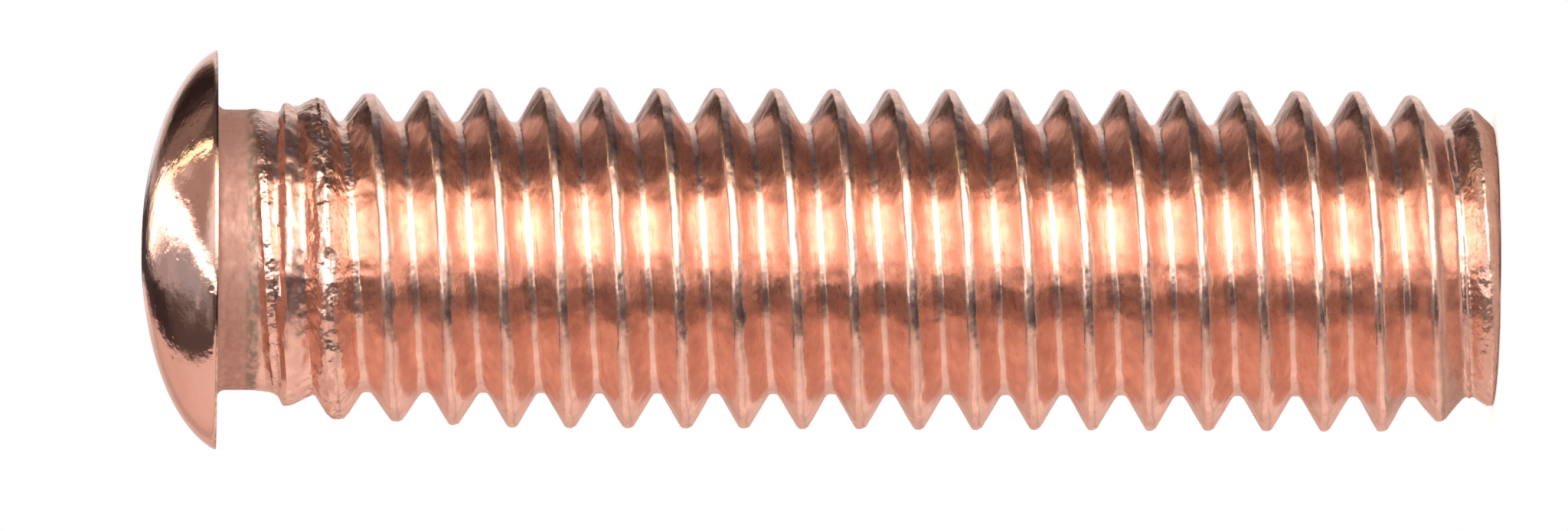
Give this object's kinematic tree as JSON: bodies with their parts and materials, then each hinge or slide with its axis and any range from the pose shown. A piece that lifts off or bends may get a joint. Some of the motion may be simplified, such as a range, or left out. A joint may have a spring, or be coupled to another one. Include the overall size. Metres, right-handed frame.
{
  "type": "weld stud",
  "caption": "Metric weld stud: domed weld head, plain neck and right-hand rolled thread with a flat pointed end, in copper-plated steel.",
  "frame": {"origin": "centre of the flat face at the free end of the thread", "axes": "+Z along the stud's axis, from the flat thread end to the top of the weld head; X and Y are square to it, and a crest of the thread meets the end face 144 degrees clockwise from +X, seen from the head"},
  "size_m": [0.0068, 0.0068, 0.0233],
  "materials": {
    "copper_plate": "bright copper plate over low-carbon steel, stained near the neck"
  },
  "bodies": {
    "root": {"weld_stud": "copper_plate"}
  },
  "joints": []
}
